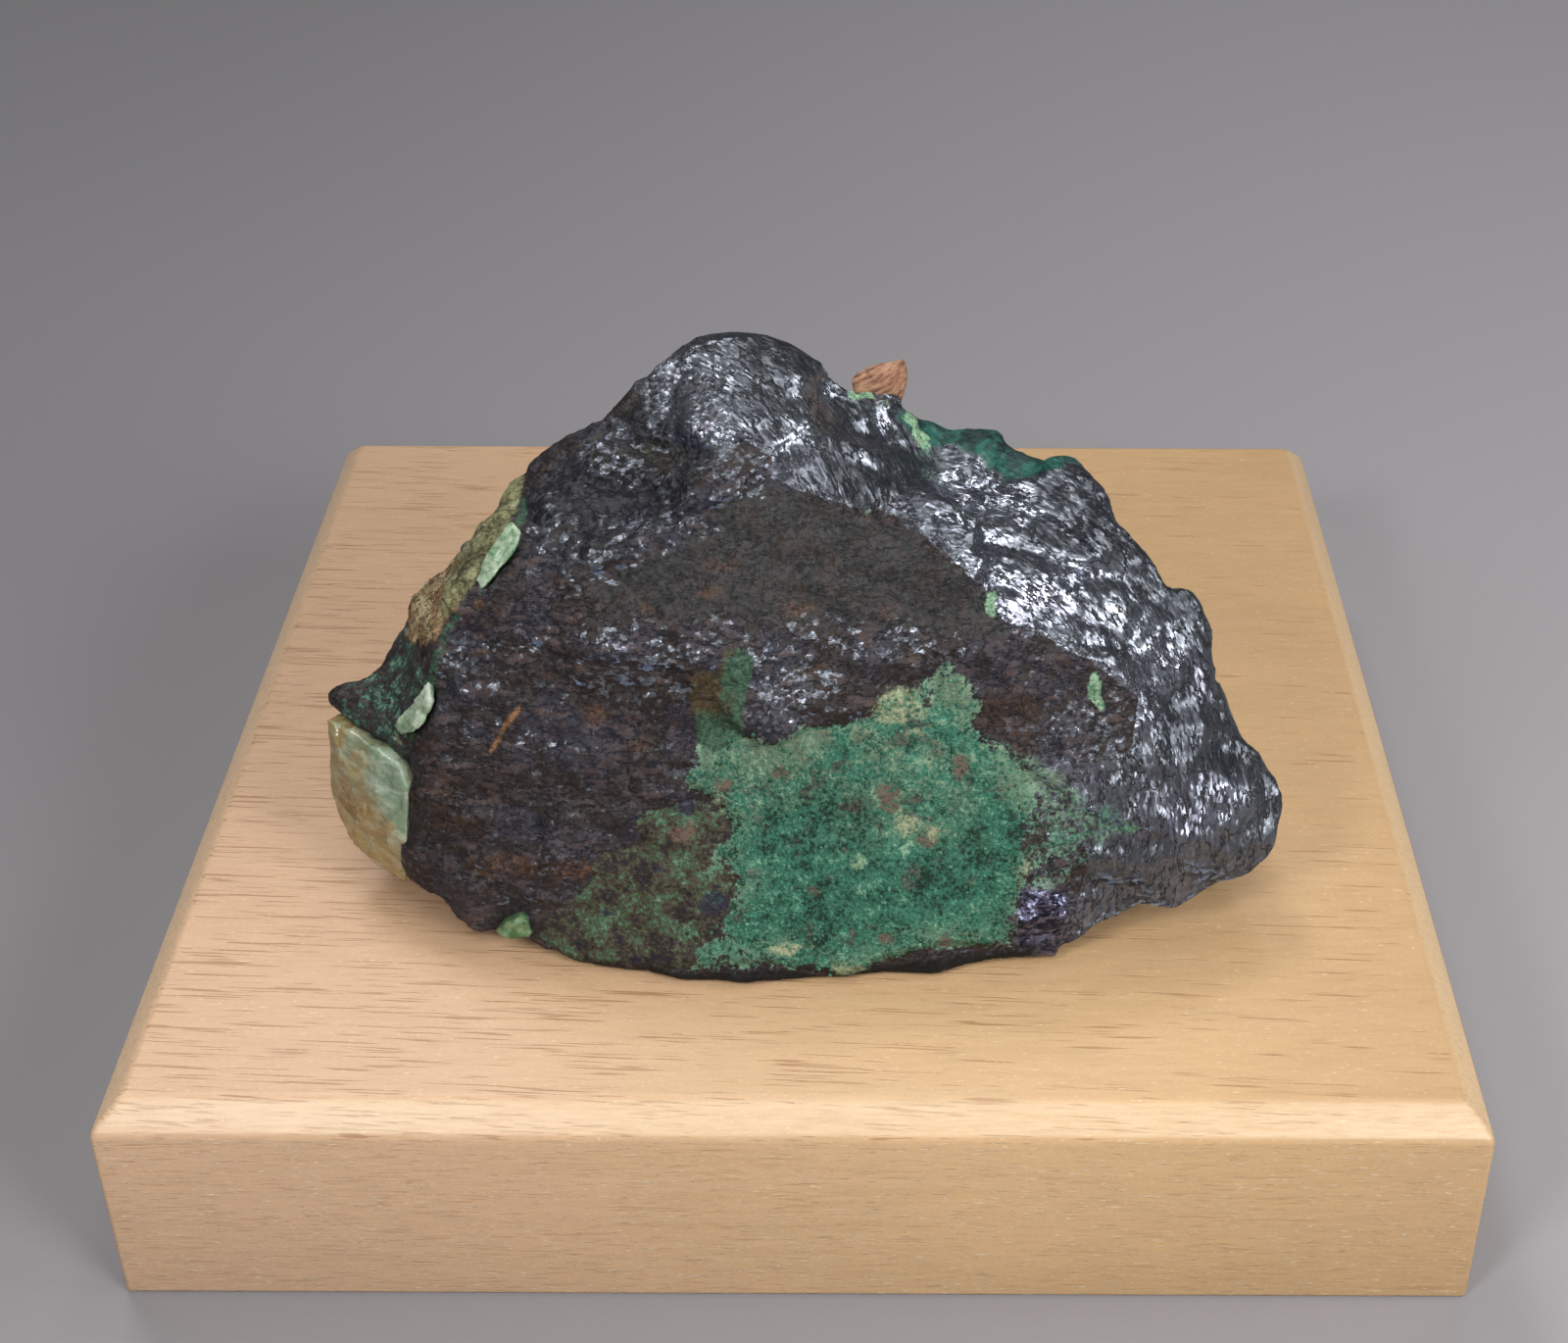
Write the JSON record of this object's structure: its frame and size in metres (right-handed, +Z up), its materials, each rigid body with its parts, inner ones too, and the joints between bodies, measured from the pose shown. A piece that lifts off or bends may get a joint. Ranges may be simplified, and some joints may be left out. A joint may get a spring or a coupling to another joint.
{
  "type": "djurleite specimen on a display block",
  "caption": "Dark metallic djurleite stone with green malachite crust and quartz inclusions, resting on a square wooden display block with chamfered top edges.",
  "frame": {"origin": "middle of the display block's underside", "axes": "+Z up, +X to the right and +Y to the back as one faces the stone's broken front face"},
  "size_m": [0.1016, 0.1016, 0.0618],
  "materials": {
    "pale_hardwood": "pale straight-grained hardwood, sanded, with a thin clear satin coat",
    "djurleite": "dark blue-grey sulphide, bright metallic where freshly broken and dull brown-black on the front, with green malachite and brown rust crusts",
    "pale_quartz": "milky, see-through pale green quartz with ochre stains",
    "brown_quartz": "cloudy brown-orange quartz with a broken surface",
    "green_quartz": "milky mint-green stained quartz"
  },
  "bodies": {
    "root": {"display_block": "pale_hardwood", "djurleite_mass": "djurleite", "quartz_lump": "pale_quartz", "quartz_point": "brown_quartz", "quartz_sliver_upper": "green_quartz", "quartz_sliver_lower": "green_quartz", "quartz_foot_chip": "green_quartz"}
  },
  "joints": []
}
